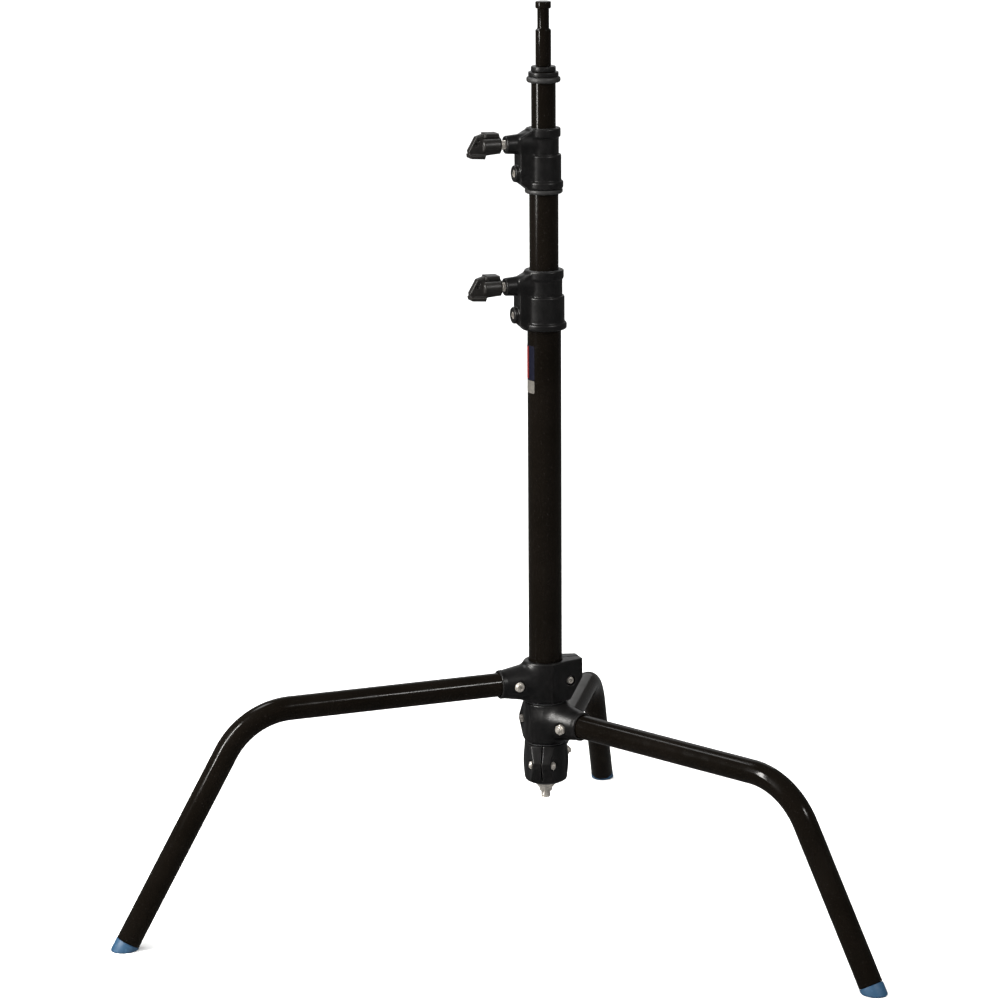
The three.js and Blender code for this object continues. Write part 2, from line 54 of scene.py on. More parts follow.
STUD_END = 109.5          # height of the row frame's origin above the floor, mm
KNOB_AZIMUTH = 201.2
LEG_SLOPE = math.radians(60.18)
LEG_TUBE = dict(outer=12.5, inner=10.5, start=22.3, vertex=328.3, bend=80)
FOOT_SHORT_SIDE = 2

HUB = dict(radius=21.9, bore=17.8, floor=6.3, round_wide=8.9, round_high=7.5)
SOCKET = dict(root=21.2, mouth=15.2, taper_from=14, taper_to=47.5, length=52.8, bore=12.8, depth=21.9)
EAR_ROOT = 21.5
FLUSH_EAR = dict(reach=37.9, half_width=11)
TAPERED_EAR = dict(reach=30.5, half_width=9)
BOLT = dict(x=35.6, hole=3.2, face=16.6, nut_face=-14)
PINCH = dict(x=-23, hole=2.7, face=10, nut_face=-9.6)
STUD_BORE = 5.3

KNOB_DROP, SET_SCREW_DROP = 15.3, 45.5      # below the top of a clamp
KNOB_BOSS_RADIUS, KNOB_BOSS_FLARE, SET_BOSS_RADIUS = 9.2, 10.4, 8.75
BLOCK_HALF = 10.0
COLUMN_RADIUS = 17.5
CAMERA = dict(lens=140.42, distance=3944.7, height=1395.4, pitch=13.71, roll=-0.36, yaw=-0.678)

LEGS = {
    "upper": dict(azimuth=201.2, bottom=217.2, top=261.0, axis=238.4, cross=238.4, body="stand_base"),
    "middle": dict(azimuth=-42.5, bottom=172.7, top=215.8, axis=196.9, cross=194.0, body="middle_leg"),
    "lower": dict(azimuth=80.8, bottom=127.0, top=171.3, axis=149.8, cross=150.8, body="lower_leg"),
}
CLAMPS = {
    "upper": dict(top=822.8, inner=12.5, held=15.0, held_top=793.0, rim=(17.4, 814.1), neck=(15.6, 796.0),
                  middle=(18.0, 769.0), band=(20.1, 761.0), bush=14.9, bush_inner=12.75, bore=12.9,
                  block_end=28.7, knob_boss=42.5, set_boss=33.3,
                  body="middle_riser", shoe_body="upper_brake", knob_body="upper_wing_knob"),
    "lower": dict(top=676.5, inner=15.0, held=17.5, held_top=647.0, rim=(20.2, 668.1), neck=(18.9, 649.8),
                  middle=(21.1, 622.2), band=(23.3, 615.1), bush=17.8, bush_inner=15.25, bore=15.4,
                  block_end=30.2, knob_boss=43.8, set_boss=35.2,
                  body="stand_base", shoe_body="lower_brake", knob_body="lower_wing_knob"),
}


# ------------------------------------------------------------------ materials
class Nodes:
    """Small helper that adds and links shader nodes of one material."""

    def __init__(self, name):
        self.material = bpy.data.materials.new(name)
        self.material.use_nodes = True
        self.tree = self.material.node_tree
        self.shader = self.tree.nodes["Principled BSDF"]
        self.place = self.tree.nodes.new("ShaderNodeTexCoord").outputs["Object"]

    def link(self, source, target):
        self.tree.links.new(source, target)

    def noise(self, scale, detail=2.0, stretch=(1, 1, 1), roughness=0.5):
        mapping = self.tree.nodes.new("ShaderNodeMapping")
        mapping.inputs["Scale"].default_value = stretch
        self.link(self.place, mapping.inputs["Vector"])
        node = self.tree.nodes.new("ShaderNodeTexNoise")
        node.inputs["Scale"].default_value = scale
        node.inputs["Detail"].default_value = detail
        node.inputs["Roughness"].default_value = roughness
        self.link(mapping.outputs["Vector"], node.inputs["Vector"])
        return node.outputs["Fac"]

    def ramp(self, source, low, high, start, end):
        node = self.tree.nodes.new("ShaderNodeMapRange")
        for key, value in (("From Min", low), ("From Max", high), ("To Min", start), ("To Max", end)):
            node.inputs[key].default_value = value
        self.link(source, node.inputs["Value"])
        return node.outputs["Result"]

    def blend(self, factor, first, second):
        node = self.tree.nodes.new("ShaderNodeMix")
        node.data_type = "RGBA"
        self.link(factor, node.inputs["Factor"])
        for slot, value in (("A", first), ("B", second)):
            target = [i for i in node.inputs if i.name == slot and i.type == "RGBA"][0]
            if isinstance(value, tuple):
                target.default_value = (*value, 1)
            else:
                self.link(value, target)
        return [o for o in node.outputs if o.type == "RGBA"][0]

    def add(self, first, second):
        node = self.tree.nodes.new("ShaderNodeMath")
        node.operation = "ADD"
        self.link(first, node.inputs[0])
        self.link(second, node.inputs[1])
        return node.outputs[0]

    def bump(self, height, distance, strength=1.0, normal=None):
        node = self.tree.nodes.new("ShaderNodeBump")
        node.inputs["Distance"].default_value = distance
        node.inputs["Strength"].default_value = strength
        self.link(height, node.inputs["Height"])
        if normal is not None:
            self.link(normal, node.inputs["Normal"])
        self.link(node.outputs["Normal"], self.shader.inputs["Normal"])
        return node.outputs["Normal"]

    def set(self, **values):
        for name, value in values.items():
            self.shader.inputs[name.replace("_", " ")].default_value = value


def gloss_black():
    n = Nodes("gloss_black_paint")
    dust = n.ramp(n.noise(900, 3), 0.66, 0.76, 0, 0.5)
    tone = n.ramp(n.noise(14, 4), 0.35, 0.7, 0, 1)
    paint = n.blend(tone, (0.0020, 0.0015, 0.0010), (0.0034, 0.0026, 0.0019))
    n.link(n.blend(dust, paint, (0.03, 0.028, 0.026)), n.shader.inputs["Base Color"])
    streaks = n.ramp(n.noise(60, 5, (1, 1, 0.05)), 0.45, 0.75, 0.0, 0.12)
    n.link(n.add(n.ramp(n.noise(25, 4), 0.3, 0.75, 0.10, 0.17), streaks), n.shader.inputs["Roughness"])
    peel = n.bump(n.noise(420, 2), 0.00012, 0.18)
    n.bump(n.noise(2600, 3), 0.00004, 0.12, peel)
    n.set(Specular_IOR_Level=0.08)
    return n.material


def cast_black():
    n = Nodes("satin_black_casting")
    tone = n.ramp(n.noise(120, 5), 0.35, 0.7, 0, 1)
    base = n.blend(tone, (0.0020, 0.0019, 0.0019), (0.0038, 0.0036, 0.0036))
    edges = n.tree.nodes.new("ShaderNodeNewGeometry").outputs["Pointiness"]
    # Pointiness lightens sharp rims and corners with a painted edge highlight that stands in for light
    # glinting on rounded edges.
    painted_edge_highlight = n.ramp(edges, 0.52, 0.60, 0, 0.5)
    n.link(n.blend(painted_edge_highlight, base, (0.030, 0.029, 0.028)), n.shader.inputs["Base Color"])
    n.link(n.ramp(n.noise(300, 5), 0.3, 0.7, 0.30, 0.40), n.shader.inputs["Roughness"])
    skin = n.bump(n.noise(700, 3), 0.00018, 0.25)
    n.bump(n.noise(2800, 3), 0.00006, 0.2, skin)
    n.set(Specular_IOR_Level=0.2)
    return n.material


def knob_grey():
    n = Nodes("dark_grey_knob_plastic")
    tone = n.ramp(n.noise(160, 5), 0.3, 0.7, 0, 1)
    n.link(n.blend(tone, (0.0042, 0.0037, 0.0032), (0.0075, 0.0066, 0.0058)), n.shader.inputs["Base Color"])
    n.link(n.ramp(n.noise(500, 4), 0.3, 0.7, 0.34, 0.46), n.shader.inputs["Roughness"])
    grain = n.bump(n.noise(1500, 3), 0.00018, 0.35)
    n.bump(n.noise(5200, 2), 0.00006, 0.3, grain)
    n.set(Specular_IOR_Level=0.25)
    return n.material


def zinc():
    n = Nodes("zinc_plate")
    tone = n.ramp(n.noise(260, 5), 0.3, 0.7, 0, 1)
    n.link(n.blend(tone, (0.36, 0.335, 0.30), (0.49, 0.46, 0.42)), n.shader.inputs["Base Color"])
    n.link(n.ramp(n.noise(700, 4), 0.3, 0.7, 0.30, 0.45), n.shader.inputs["Roughness"])
    n.bump(n.noise(2400, 3), 0.00006, 0.3)
    n.set(Metallic=0.75)
    return n.material


def blue_plastic():
    n = Nodes("blue_foot_plastic")
    tone = n.ramp(n.noise(110, 5), 0.3, 0.7, 0, 1)
    base = n.blend(tone, (0.0065, 0.031, 0.064), (0.0095, 0.041, 0.085))
    scuff = n.ramp(n.noise(380, 6), 0.60, 0.72, 0, 0.4)
    n.link(n.blend(scuff, base, (0.03, 0.08, 0.14)), n.shader.inputs["Base Color"])
    n.link(n.ramp(n.noise(420, 4), 0.3, 0.7, 0.45, 0.62), n.shader.inputs["Roughness"])
    n.bump(n.noise(1300, 3), 0.00015, 0.35)
    n.set(Specular_IOR_Level=0.4)
    return n.material


def rubber():
    n = Nodes("black_rubber")
    tone = n.ramp(n.noise(240, 5), 0.3, 0.7, 0, 1)
    n.link(n.blend(tone, (0.008, 0.008, 0.008), (0.011, 0.0105, 0.010)), n.shader.inputs["Base Color"])
    n.link(n.ramp(n.noise(600, 4), 0.3, 0.7, 0.42, 0.6), n.shader.inputs["Roughness"])
    n.bump(n.noise(1800, 3), 0.0001, 0.35)
    n.set(Specular_IOR_Level=0.4)
    return n.material


def nylon():
    n = Nodes("black_nylon")
    tone = n.ramp(n.noise(200, 4), 0.3, 0.7, 0, 1)
    n.link(n.blend(tone, (0.010, 0.010, 0.0105), (0.018, 0.018, 0.019)), n.shader.inputs["Base Color"])
    n.link(n.ramp(n.noise(700, 3), 0.3, 0.7, 0.35, 0.48), n.shader.inputs["Roughness"])
    n.bump(n.noise(2500, 2), 0.00005, 0.3)
    return n.material


def label_print(name, low, high):
    n = Nodes(name)
    tone = n.ramp(n.noise(420, 5), 0.3, 0.7, 0, 1)
    base = n.blend(tone, low, high)
    worn = n.ramp(n.noise(1500, 4), 0.68, 0.76, 0, 0.5)
    n.link(n.blend(worn, base, tuple(0.5 * (a + 0.06) for a in high)), n.shader.inputs["Base Color"])
    n.link(n.ramp(n.noise(350, 4), 0.3, 0.7, 0.44, 0.58), n.shader.inputs["Roughness"])
    n.bump(n.noise(900, 2), 0.00003, 0.25)
    n.set(Specular_IOR_Level=0.06)
    return n.material


def pale_floor():
    n = Nodes("pale_floor")
    tone = n.ramp(n.noise(0.8, 3), 0.3, 0.7, 0, 1)
    n.link(n.blend(tone, (0.895, 0.895, 0.893), (0.91, 0.91, 0.91)), n.shader.inputs["Base Color"])
    n.link(n.ramp(n.noise(30, 3), 0.3, 0.7, 0.8, 0.92), n.shader.inputs["Roughness"])
    n.bump(n.noise(900, 3), 0.0001, 0.2)
    n.set(Specular_IOR_Level=0.1)
    return n.material


LOOK = {
    "gloss_black_tube": gloss_black(), "satin_black_casting": cast_black(), "dark_grey_knob": knob_grey(),
    "zinc_plate": zinc(), "blue_foot": blue_plastic(), "black_rubber": rubber(), "black_nylon": nylon(),
}


# ------------------------------------------------------------------ making pieces
def make_piece(name, mesh_data, body, slot=None, nodes=(), azimuth=0.0, look=None, sharp=35.0):
    """Adds one piece from (vertices in mm above the floor, faces), turned to its azimuth."""
    verts, faces = mesh_data
    verts = np.asarray(verts, float)
    turn = math.radians(azimuth)
    x = verts[:, 0] * math.cos(turn) - verts[:, 1] * math.sin(turn)
    y = verts[:, 0] * math.sin(turn) + verts[:, 1] * math.cos(turn)
    placed = np.stack([x, y, verts[:, 2] - STUD_END], 1) / 1000
    mesh = bpy.data.meshes.new(name)
    mesh.from_pydata(placed.tolist(), [], [tuple(int(i) for i in f) for f in faces])
    mesh.update()
    mesh.polygons.foreach_set("use_smooth", [True] * len(mesh.polygons))
    if sharp is not None:
        mesh.set_sharp_from_angle(angle=math.radians(sharp))
    piece = bpy.data.objects.new(name, mesh)
    bpy.context.scene.collection.objects.link(piece)
    mesh.materials.append(look or LOOK[slot])
    if nodes:
        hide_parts(*nodes)
    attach(piece, body)
    return piece


def rounded(points, radius, steps=4, closed=True):
    """Polygon with its corners replaced by arcs; radius may be one number or one per corner."""
    out = []
    count = len(points)
    for i, corner in enumerate(points):
        size = radius[i] if isinstance(radius, (list, tuple)) else radius
        if size <= 0 or (not closed and i in (0, count - 1)):
            out.append(tuple(corner))
            continue
        here = np.array(corner, float)
        before = np.array(points[i - 1], float) - here
        after = np.array(points[(i + 1) % count], float) - here
        len_before, len_after = np.linalg.norm(before), np.linalg.norm(after)
        before, after = before / len_before, after / len_after
        half = math.acos(max(-1, min(1, float(before @ after)))) / 2
        if half > math.radians(89):
            out.append(tuple(corner))
            continue
        cut = min(size / math.tan(half), 0.48 * len_before, 0.48 * len_after)
        actual = cut * math.tan(half)
        centre = here + (before + after) / np.linalg.norm(before + after) * actual / math.sin(half)
        start, end = here + before * cut - centre, here + after * cut - centre
        a0, a1 = math.atan2(start[1], start[0]), math.atan2(end[1], end[0])
        sweep = (a1 - a0 + math.pi) % (2 * math.pi) - math.pi
        for s in range(steps + 1):
            a = a0 + sweep * s / steps
            out.append((centre[0] + actual * math.cos(a), centre[1] + actual * math.sin(a)))
    return out


def loft(rings, close_loop):
    """Rings of equal size joined in turn; a ring of one point is a pole. close_loop joins last to first."""
    verts, starts, faces = [], [], []
    for ring in rings:
        starts.append(len(verts))
        verts.extend(ring)
    pairs = list(zip(range(len(rings)), range(1, len(rings))))
    if close_loop:
        pairs.append((len(rings) - 1, 0))
    for a, b in pairs:
        na, nb = len(rings[a]), len(rings[b])
        for i in range(max(na, nb)):
            j = (i + 1) % max(na, nb)
            if na == 1:
                faces.append((starts[a], starts[b] + j, starts[b] + i))
            elif nb == 1:
                faces.append((starts[a] + i, starts[a] + j, starts[b]))
            else:
                faces.append((starts[a] + i, starts[a] + j, starts[b] + j, starts[b] + i))
    return np.array(verts, float), faces


def circle(radius, height, segments):
    """Ring of points; radius may be a function of the angle."""
    ring = []
    for i in range(segments):
        a = 2 * math.pi * i / segments
        r = radius(a) if callable(radius) else radius
        ring.append((r * math.cos(a), r * math.sin(a), height))
    return ring


def lathe(profile, segments=96, closed=False):
    """Turned piece about z. A closed profile is a ring's section, given anticlockwise in (r, z)."""
    rings = []
    for r, z in profile:
        rings.append([(0.0, 0.0, z)] if not callable(r) and r < 1e-6 else circle(r, z, segments))
    return loft(rings, closed)


def along(mesh_data, axis, at=(0, 0, 0), flip=False):
    """Turns a piece made about z to point along +x or +y, then moves it."""
    v, faces = mesh_data
    if flip:
        v = v * (1, -1, -1)
    if axis == "x":
        v = np.stack([v[:, 2], v[:, 1], -v[:, 0]], 1)
    elif axis == "y":
        v = np.stack([v[:, 0], v[:, 2], -v[:, 1]], 1)
    return v + np.array(at, float), faces


# ------------------------------------------------------------------ distance-field castings
def smooth_min(a, b, k):
    h = np.maximum(k - np.abs(a - b), 0) / k
    return np.minimum(a, b) - h * h * k * 0.25


def smooth_max(a, b, k):
    return -smooth_min(-a, -b, k)


def slab(value, low, high):
    return np.maximum(low - value, value - high)


def polygon(u, v, points):
    """Signed distance to a polygon in the (u, v) plane."""
    best = np.full(u.shape, 1e9)
    sign = np.ones(u.shape)
    for i, (ax, ay) in enumerate(points):
        bx, by = points[i - 1]
        ex, ey = bx - ax, by - ay
        wx, wy = u - ax, v - ay
        t = np.clip((wx * ex + wy * ey) / (ex * ex + ey * ey), 0, 1)
        best = np.minimum(best, (wx - ex * t) ** 2 + (wy - ey * t) ** 2)
        c1, c2, c3 = v >= ay, v < by, ex * wy > ey * wx
        flip = (c1 & c2 & c3) | (~c1 & ~c2 & ~c3)
        sign = np.where(flip, -sign, sign)
    return sign * np.sqrt(best)


CORNERS = [(i, j, k) for i in (0, 1) for j in (0, 1) for k in (0, 1)]


def crossings(values, low, step):
    """Surface-net vertices: the mean crossing point of each cell that the surface passes through."""
    shape = tuple(n - 1 for n in values.shape)
    total = np.zeros(shape + (3,))
    count = np.zeros(shape)

    def corner(c):
        return values[c[0]:c[0] + shape[0], c[1]:c[1] + shape[1], c[2]:c[2] + shape[2]]

    for a in CORNERS:
        for axis in range(3):
            if a[axis]:
                continue
            b = tuple(a[i] + (i == axis) for i in range(3))
            va, vb = corner(a), corner(b)
            mask = (va < 0) != (vb < 0)
            t = va[mask] / (va[mask] - vb[mask])
            point = np.tile(np.array(a, float), (len(t), 1))
            point[:, axis] += t
            total[mask] += point
            count[mask] += 1
    active = count > 0
    cells = np.argwhere(active)
    points = (cells + total[active] / count[active][:, None]) * step + np.array(low)
    index = np.full(shape, -1)
    index[active] = np.arange(len(cells))
    return points, index


def net_faces(values, index):
    """One quad for each grid edge that the surface crosses, facing out of the solid."""
    faces = []
    inside = values < 0
    for axis in range(3):
        others = [i for i in range(3) if i != axis]
        lo = [slice(None)] * 3
        hi = [slice(None)] * 3
        lo[axis], hi[axis] = slice(0, -1), slice(1, None)
        for other in others:
            lo[other] = hi[other] = slice(1, -1)
        a, b = inside[tuple(lo)], inside[tuple(hi)]
        where = np.argwhere(a != b)
        leaving = a[tuple(where.T)]
        base = where.copy()
        quads = []
        for du, dv in ((0, 0), (1, 0), (1, 1), (0, 1)):
            cell = base.copy()
            cell[:, others[0]] += du
            cell[:, others[1]] += dv
            quads.append(index[tuple(cell.T)])
        quads = np.stack(quads, 1)
        forward = leaving if axis != 1 else ~leaving
        faces.append(np.where(forward[:, None], quads, quads[:, ::-1]))
    return np.concatenate(faces)


def casting(field, low, high, step):
    """Mesh of the surface where field(x, y, z) is zero, pulled exactly onto it."""
    axes = [np.arange(l - 1.5 * step, h + 2.5 * step, step) for l, h in zip(low, high)]
    grid = np.meshgrid(*axes, indexing="ij")
    values = field(*grid)
    origin = [a[0] for a in axes]
    points, index = crossings(values, origin, step)
    faces = net_faces(values, index)
    d = 0.02
    for _ in range(3):
        x, y, z = points.T
        f = field(x, y, z)
        g = np.stack([field(x + d, y, z) - f, field(x, y + d, z) - f, field(x, y, z + d) - f], 1) / d
        move = -f[:, None] * g / np.maximum((g * g).sum(1), 0.25)[:, None]
        length = np.linalg.norm(move, axis=1, keepdims=True)
        points = points + move * np.minimum(1, 0.4 * step / np.maximum(length, 1e-9))
    return points, faces


def hub_field(leg, name):
    bottom, top, axis, cross = (leg[key] for key in ("bottom", "top", "axis", "cross"))
    closed = name == "lower"

    def socket_part(x, y, z):
        rho = np.hypot(y, z - axis)
        stations = [4, SOCKET["taper_from"], SOCKET["taper_to"], 60]
        root, mouth = SOCKET["root"], SOCKET["mouth"]
        radius = np.interp(x, stations, [root, root, mouth, mouth])
        return smooth_max((rho - radius) * 0.985, slab(x, 2, SOCKET["length"]), 1.6)

    def barrel_part(x, y, z):
        rho = np.hypot(x, y)
        if not closed:
            return smooth_max(rho - HUB["radius"], slab(z, bottom, top), 2.4)
        drop = np.clip((bottom + HUB["round_high"] - z) / HUB["round_high"], 0, 1)
        radius = HUB["radius"] - HUB["round_wide"] * (1 - np.sqrt(1 - np.minimum(drop, 0.995) ** 2))
        return smooth_max((rho - radius) * 0.8, slab(z, bottom, top), 1.0)

    def ear_part(x, y, z):
        if name == "upper":
            reach, half_width = FLUSH_EAR["reach"], FLUSH_EAR["half_width"]
            side = (np.abs(y) - EAR_ROOT - x * (EAR_ROOT - half_width) / reach) * 0.96
            outline = [(0, bottom + 0.2), (-22.5, bottom + 0.6), (-reach, top - 21), (-reach, top), (0, top)]
            shape = smooth_max(side, polygon(x, z, outline), 1.4)
        else:
            reach, half_width = TAPERED_EAR["reach"], TAPERED_EAR["half_width"]
            side = (np.abs(y) - EAR_ROOT - x * (EAR_ROOT - half_width) / reach) * 0.93
            outline = [(0, cross - 20.4), (-21.6, cross - 19.6), (-30.4, cross - 3.5), (-30.4, cross + 3.5),
                       (-21.6, cross + 19.6), (0, cross + 20.4)]
            shape = smooth_max(side, polygon(x, z, outline), 1.6)
        return smooth_max(shape, x, 1)

    def cut_part(x, y, z):
        rho = np.hypot(x, y)
        floor = bottom + HUB["floor"] if closed else bottom - 5
        cut = np.maximum(rho - HUB["bore"], floor - z)
        cut = np.minimum(cut, np.maximum(np.hypot(y, z - axis) - SOCKET["bore"], SOCKET["depth"] - x))
        cut = np.minimum(cut, np.maximum.reduce([x + 16.5, np.abs(y) - 0.6, floor - z]))
        across = np.hypot(x - BOLT["x"], z - cross)
        cut = np.minimum(cut, across - BOLT["hole"])
        cut = np.minimum(cut, smooth_max(across - 6.6, BOLT["face"] - y, 0.8))
        cut = np.minimum(cut, smooth_max(across - 7.0, y - BOLT["nut_face"], 0.8))
        pinch = np.hypot(x - PINCH["x"], z - cross)
        cut = np.minimum(cut, pinch - PINCH["hole"])
        cut = np.minimum(cut, smooth_max(pinch - 5.4, PINCH["face"] - y, 0.8))
        cut = np.minimum(cut, smooth_max(pinch - 5.4, y - PINCH["nut_face"], 0.8))
        if closed:
            cut = np.minimum(cut, rho - STUD_BORE)
        return cut

    def field(x, y, z):
        body = smooth_min(barrel_part(x, y, z), socket_part(x, y, z), 8)
        body = smooth_min(body, ear_part(x, y, z), 4)
        body = smooth_max(body, slab(z, bottom, top), 1.2)
        return smooth_max(body, -cut_part(x, y, z), 0.7)

    return field


def build_hub(name, leg):
    data = casting(hub_field(leg, name), (-39.5, -23.5, leg["bottom"]), (53, 23.5, leg["top"]), 0.75)
    make_piece(f"{name}_hub_casting", data, leg["body"], "satin_black_casting", [f"{name}_leg_hub"],
               leg["azimuth"], sharp=50)


def clamp_field(clamp):
    top = clamp["top"]
    knob_height, set_height = top - KNOB_DROP, top - SET_SCREW_DROP
    band_bottom = clamp["band"][1]
    block_end, knob_boss = clamp["block_end"], clamp["knob_boss"]
    block = [(0, band_bottom + 0.6), (clamp["band"][0] - 0.6, band_bottom + 0.6), (block_end, top - 54.3),
             (block_end, top - 8), (14.9, top - 0.5), (0, top - 0.5)]

    def sleeve(rho, z):
        rim_r, rim_z = clamp["rim"]
        neck_r, neck_z = clamp["neck"]
        mid_r, mid_z = clamp["middle"]
        band_r, band_z = clamp["band"]
        body = smooth_max(rho - rim_r, slab(z, rim_z, top), 1.6)
        body = smooth_min(body, smooth_max(rho - neck_r, slab(z, neck_z - 3, top - 1), 1), 2.5)
        body = smooth_min(body, smooth_max(rho - mid_r, slab(z, mid_z - 3, neck_z), 1.6), 1.0)
        return smooth_min(body, smooth_max(rho - band_r, slab(z, band_z, mid_z), 2.2), 1.2)

    def field(x, y, z):
        rho = np.hypot(x, y)
        body = sleeve(rho, z)
        plate = smooth_max(polygon(x, z, block), np.abs(y) - BLOCK_HALF, 1.8)
        body = smooth_min(body, np.maximum(plate, -x), 2.2)
        around = np.hypot(y, z - knob_height)
        taper = np.interp(x, [20, 27, knob_boss - 1, 60],
                          [KNOB_BOSS_FLARE, KNOB_BOSS_FLARE, KNOB_BOSS_RADIUS, KNOB_BOSS_RADIUS])
        body = smooth_min(body, smooth_max(around - taper, slab(x, 8, knob_boss), 1.6), 3.0)
        low = np.hypot(y, z - set_height)
        body = smooth_min(body, smooth_max(low - SET_BOSS_RADIUS, slab(x, 8, clamp["set_boss"]), 2.2), 2.0)
        cut = rho - clamp["bore"]
        cut = np.minimum(cut, np.maximum(rho - clamp["held"] - 0.3, z - clamp["held_top"]))
        cut = np.minimum(cut, np.maximum(rho - clamp["bush"], clamp["rim"][1] - z))
        cut = np.minimum(cut, np.maximum(around - 6.3, slab(x, 6, clamp["inner"] + 8.4)))
        cut = np.minimum(cut, np.maximum(around - 5.3, 6 - x))
        cut = np.minimum(cut, np.maximum(low - 4.3, 6 - x))
        return smooth_max(body, -cut, 0.7)

    return field


def build_clamp_body(name, clamp):
    reach = clamp["band"][0]
    low, high = (-reach, -reach, clamp["band"][1]), (clamp["knob_boss"], reach, clamp["top"])
    data = casting(clamp_field(clamp), low, high, 0.7)
    make_piece(f"{name}_clamp_casting", data, clamp["body"], "satin_black_casting",
               [f"{name}_clamp_body"], KNOB_AZIMUTH, sharp=50)


KNOB_WEB = [(47.6, 6.4), (50.2, 12.4), (64.6, 13.0), (74.2, 10.2), (82.2, -3.6), (81.2, -10.4),
            (66.2, -11.8), (63.4, -9.4), (48.4, -8.2)]
KNOB_FLANGES = [[(50.2, 8.6), (51.0, 13.1), (65.2, 13.6), (65.8, 9.2)],
                [(64.8, -8.4), (66.2, -12.6), (81.0, -11.4), (81.8, -7.4)]]


def knob_field(height):
    def field(x, y, z):
        h = z - height
        body = smooth_max(polygon(x, h, KNOB_WEB), np.abs(y) - 4.2, 1.6)
        for flange in KNOB_FLANGES:
            body = smooth_min(body, smooth_max(polygon(x, h, flange), np.abs(y) - 7.6, 1.0), 1.0)
        around = np.hypot(y, h)
        body = smooth_min(body, smooth_max(around - 7.4, slab(x, 47.4, 67), 2.4), 2.0)
        for place, size in (((74.6, 2.2), 1.9), ((72.0, 6.0), 1.3)):
            dimple = size - np.sqrt((x - place[0]) ** 2 + (h - place[1]) ** 2 + (np.abs(y) - 4.1) ** 2)
            body = smooth_max(body, dimple, 0.5)
        return smooth_max(body, -np.maximum(around - 5.2, slab(x, 40, 62.3)), 0.6)

    return field


def build_knob(name, clamp):
    height = clamp["top"] - KNOB_DROP
    data = casting(knob_field(height), (47, -8, height - 13), (82.6, 8, height + 14), 0.42)
    make_piece(f"{name}_wing_knob", data, clamp["knob_body"], "dark_grey_knob", [f"{name}_knob"],
               KNOB_AZIMUTH, sharp=50)


# ------------------------------------------------------------------ legs
def leg_path(leg, stations=40):
    """Points and directions down the middle of a leg tube, in its own vertical plane."""
    bend, outer = LEG_TUBE["bend"], LEG_TUBE["outer"]
    run = bend * math.tan(LEG_SLOPE / 2)
    bend_start = LEG_TUBE["vertex"] - run
    end_height = outer * math.cos(LEG_SLOPE) + FOOT_SHORT_SIDE * math.sin(LEG_SLOPE)
    slope_length = (leg["axis"] - end_height) / math.sin(LEG_SLOPE) - run
    out = [((LEG_TUBE["start"], leg["axis"]), 0.0)]
    for i in range(stations + 1):
        a = LEG_SLOPE * i / stations
        out.append(((bend_start + bend * math.sin(a), leg["axis"] - bend * (1 - math.cos(a))), a))
    (x, z), a = out[-1]
    out.append(((x + slope_length * math.cos(a), z - slope_length * math.sin(a)), a))
    return out


def ring_at(point, angle, radius, segments=80):
    """Ring square to the leg's path; angle is how far the path points below level."""
    ring = []
    for i in range(segments):
        a = 2 * math.pi * i / segments
        side, up = radius * math.cos(a), radius * math.sin(a)
        ring.append((point[0] + up * math.sin(angle), side, point[1] + up * math.cos(angle)))
    return ring


def build_leg_tube(name, leg):
    path = leg_path(leg)
    edge, wall = 0.5, LEG_TUBE["outer"]
    x0, z0 = path[0][0]
    (x1, z1), a1 = path[-1]
    outer = [((x0, z0), 0.0, wall - edge), ((x0 + edge, z0), 0.0, wall)]
    outer += [(p, a, wall) for p, a in path[1:-1]]
    for share, shrink in ((1.0, 0.0), (0.5, 0.14), (0.13, 0.5), (0.0, 1.0)):
        back = edge * share
        outer.append(((x1 - back * math.cos(a1), z1 + back * math.sin(a1)), a1, wall - edge * shrink))
    inner = [(p, a, LEG_TUBE["inner"]) for p, a in reversed(path)]
    rings = [ring_at(p, a, r) for p, a, r in outer + inner]
    verts, faces = loft(rings, True)
    make_piece(f"{name}_leg_pipe", (verts, [f[::-1] for f in faces]), leg["body"], "gloss_black_tube",
               [f"{name}_leg_tube"], leg["azimuth"], sharp=40)


